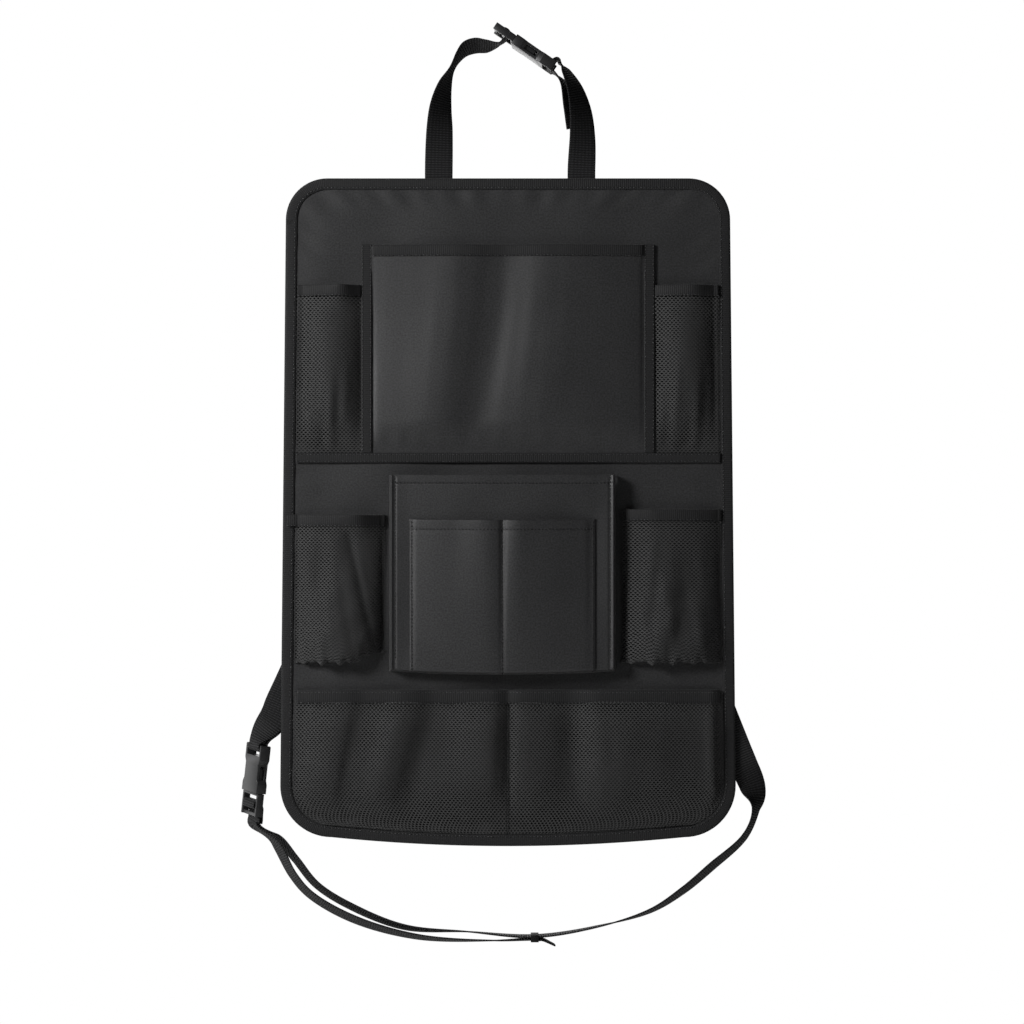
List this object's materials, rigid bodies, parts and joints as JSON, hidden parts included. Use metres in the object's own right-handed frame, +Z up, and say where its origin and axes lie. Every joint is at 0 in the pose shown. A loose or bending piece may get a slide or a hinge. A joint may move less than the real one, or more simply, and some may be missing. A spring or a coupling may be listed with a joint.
{
  "type": "car seat back organizer",
  "caption": "Hanging cloth organizer for the back of a car seat, with a tablet pocket, net pockets, a box pocket, and buckled webbing straps at top and bottom.",
  "frame": {"origin": "middle of the panel's top edge at its back face, between the roots of the headrest straps", "axes": "+Z up along the panel, +Y towards the car seat that it hangs on, pockets facing -Y, +X to the right seen from the pockets"},
  "size_m": [0.4742, 0.0494, 0.8293],
  "materials": {
    "panel_cloth": "coated plain weave, soft sheen",
    "pocket_cloth": "coated plain weave, soft sheen",
    "grosgrain_tape": "ribbed, dull",
    "net": "knitted net, soft sheen",
    "webbing": "ribbed weave, dull",
    "buckle_plastic": "satin moulded"
  },
  "bodies": {
    "root": {"back_panel": "panel_cloth", "edge_binding": "grosgrain_tape", "tablet_pocket_panel": "pocket_cloth", "tablet_pocket_top_tape": "grosgrain_tape", "tablet_pocket_left_tape": "grosgrain_tape", "tablet_pocket_right_tape": "grosgrain_tape", "upper_seam_tape": "grosgrain_tape", "upper_left_net": "net", "upper_left_hem": "grosgrain_tape", "upper_right_net": "net", "upper_right_hem": "grosgrain_tape", "lower_left_net": "net", "lower_left_hem": "grosgrain_tape", "lower_right_net": "net", "lower_right_hem": "grosgrain_tape", "center_box_pocket": "pocket_cloth", "front_double_pocket": "pocket_cloth", "bottom_net": "net", "bottom_hem": "grosgrain_tape", "headrest_buckle_socket": "buckle_plastic", "headrest_buckle_plug": "buckle_plastic", "lower_buckle_socket": "buckle_plastic", "lower_buckle_plug": "buckle_plastic", "headrest_strap_left": "webbing", "headrest_strap_right": "webbing", "lower_strap_short": "webbing", "lower_strap_long": "webbing", "strap_keeper": "webbing"}
  },
  "joints": []
}
